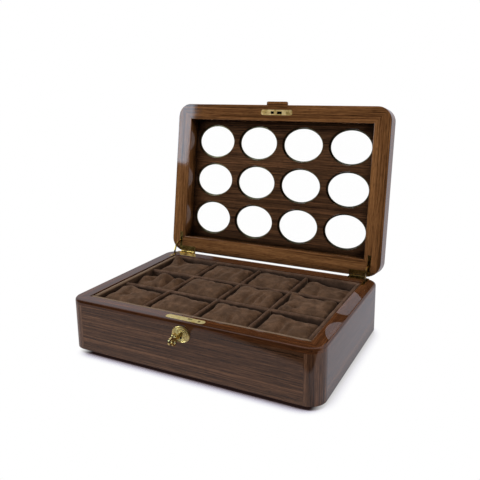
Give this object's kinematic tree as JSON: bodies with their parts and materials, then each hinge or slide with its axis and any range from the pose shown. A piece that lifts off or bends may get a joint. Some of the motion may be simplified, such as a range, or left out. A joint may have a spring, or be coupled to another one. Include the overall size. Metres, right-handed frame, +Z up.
{
  "type": "watch organizer box",
  "caption": "Lined wooden watch box with cushioned compartments, a hinged lid with oval glass windows, quadrant stay hinges, a brass lock and a key.",
  "frame": {"origin": "on the table, at the middle of the box's footprint, which is the flat underside of the felt", "axes": "+X to the right along the front, +Y from the front to the hinges, +Z up; the front with the lock faces -Y"},
  "size_m": [0.34, 0.3249, 0.3084],
  "materials": {
    "case_wood": "dark varnished veneer with a satin gloss",
    "lining_velvet": "short brown velvet over board",
    "cushion_velvet": "short brown velvet over filling",
    "base_felt": "dark felt",
    "brass": "polished and lacquered",
    "lock_steel": "plain sheet",
    "window_glass": "clear and flat"
  },
  "bodies": {
    "base": {"base_felt": "base_felt", "base_board": "case_wood", "floor_board": "case_wood", "front_panel": "case_wood", "rear_panel": "case_wood", "left_panel": "case_wood", "right_panel": "case_wood", "corner_posts": "case_wood", "rim_front": "case_wood", "rim_rear": "case_wood", "rim_left": "case_wood", "rim_right": "case_wood", "lining_floor": "lining_velvet", "lining_front": "lining_velvet", "lining_rear": "lining_velvet", "lining_left": "lining_velvet", "lining_right": "lining_velvet", "long_divider_front": "lining_velvet", "long_divider_rear": "lining_velvet", "short_dividers": "lining_velvet", "lock_plate": "brass", "lock_case": "lock_steel", "lock_screws": "brass", "escutcheon": "brass", "escutcheon_pins": "brass", "left_hinge_base_leaf": "brass", "right_hinge_base_leaf": "brass", "hinge_pins": "brass", "base_hinge_screws": "brass"},
    "lid": {"lid_rail_front": "case_wood", "lid_rail_rear": "case_wood", "lid_rail_left": "case_wood", "lid_rail_right": "case_wood", "lid_panel": "case_wood", "window_glass": "window_glass", "window_rings": "brass", "lift_tab": "case_wood", "strike_plate": "brass", "strike_screws": "brass", "left_hinge_lid_leaf": "brass", "right_hinge_lid_leaf": "brass", "lid_hinge_screws": "brass"},
    "left_stay": {"left_stay_arm": "brass"},
    "right_stay": {"right_stay_arm": "brass"},
    "lock_cam": {"lock_cam": "lock_steel"},
    "lock_hook": {"lock_hook": "lock_steel"},
    "key": {"key": "brass"},
    "cushion_front_1": {"cushion_front_1": "cushion_velvet"},
    "cushion_front_2": {"cushion_front_2": "cushion_velvet"},
    "cushion_front_3": {"cushion_front_3": "cushion_velvet"},
    "cushion_front_4": {"cushion_front_4": "cushion_velvet"},
    "cushion_middle_1": {"cushion_middle_1": "cushion_velvet"},
    "cushion_middle_2": {"cushion_middle_2": "cushion_velvet"},
    "cushion_middle_3": {"cushion_middle_3": "cushion_velvet"},
    "cushion_middle_4": {"cushion_middle_4": "cushion_velvet"},
    "cushion_rear_1": {"cushion_rear_1": "cushion_velvet"},
    "cushion_rear_2": {"cushion_rear_2": "cushion_velvet"},
    "cushion_rear_3": {"cushion_rear_3": "cushion_velvet"},
    "cushion_rear_4": {"cushion_rear_4": "cushion_velvet"}
  },
  "joints": [
    {"name": "lid_hinge", "type": "hinge", "parent": "base", "child": "lid", "pos_m": [0, 0.1187, 0.07015], "axis": [-1, 0, 0], "range_deg": [-99, 0]},
    {"name": "left_stay_swing", "type": "hinge", "parent": "base", "child": "left_stay", "pos_m": [0, 0.1187, 0.07015], "axis": [-1, 0, 0], "range_deg": [-49.5, 0]},
    {"name": "right_stay_swing", "type": "hinge", "parent": "base", "child": "right_stay", "pos_m": [0, 0.1187, 0.07015], "axis": [-1, 0, 0], "range_deg": [-49.5, 0]},
    {"name": "key_turn", "type": "hinge", "parent": "base", "child": "lock_cam", "pos_m": [0, -0.1092, 0.055], "axis": [0, 1, 0], "range_deg": [-90, 0]},
    {"name": "hook_swing", "type": "hinge", "parent": "base", "child": "lock_hook", "pos_m": [-0.0055, -0.10615, 0.062], "axis": [0, 1, 0], "range_deg": [-42, 0]},
    {"name": "key_pull", "type": "slide", "parent": "lock_cam", "child": "key", "axis": [0, -1, 0], "range_m": [0, 0.03]},
    {"name": "cushion_front_1_lift", "type": "slide", "parent": "base", "child": "cushion_front_1", "axis": [0, 0, 1], "range_m": [0, 0.045]},
    {"name": "cushion_front_2_lift", "type": "slide", "parent": "base", "child": "cushion_front_2", "axis": [0, 0, 1], "range_m": [0, 0.045]},
    {"name": "cushion_front_3_lift", "type": "slide", "parent": "base", "child": "cushion_front_3", "axis": [0, 0, 1], "range_m": [0, 0.045]},
    {"name": "cushion_front_4_lift", "type": "slide", "parent": "base", "child": "cushion_front_4", "axis": [0, 0, 1], "range_m": [0, 0.045]},
    {"name": "cushion_middle_1_lift", "type": "slide", "parent": "base", "child": "cushion_middle_1", "axis": [0, 0, 1], "range_m": [0, 0.045]},
    {"name": "cushion_middle_2_lift", "type": "slide", "parent": "base", "child": "cushion_middle_2", "axis": [0, 0, 1], "range_m": [0, 0.045]},
    {"name": "cushion_middle_3_lift", "type": "slide", "parent": "base", "child": "cushion_middle_3", "axis": [0, 0, 1], "range_m": [0, 0.045]},
    {"name": "cushion_middle_4_lift", "type": "slide", "parent": "base", "child": "cushion_middle_4", "axis": [0, 0, 1], "range_m": [0, 0.045]},
    {"name": "cushion_rear_1_lift", "type": "slide", "parent": "base", "child": "cushion_rear_1", "axis": [0, 0, 1], "range_m": [0, 0.045]},
    {"name": "cushion_rear_2_lift", "type": "slide", "parent": "base", "child": "cushion_rear_2", "axis": [0, 0, 1], "range_m": [0, 0.045]},
    {"name": "cushion_rear_3_lift", "type": "slide", "parent": "base", "child": "cushion_rear_3", "axis": [0, 0, 1], "range_m": [0, 0.045]},
    {"name": "cushion_rear_4_lift", "type": "slide", "parent": "base", "child": "cushion_rear_4", "axis": [0, 0, 1], "range_m": [0, 0.045]}
  ],
  "couplings": [
    {"joint": "left_stay_swing", "follows": "lid_hinge", "ratio": 0.5},
    {"joint": "right_stay_swing", "follows": "lid_hinge", "ratio": 0.5},
    {"joint": "hook_swing", "follows": "key_turn", "ratio": 0.46667}
  ]
}
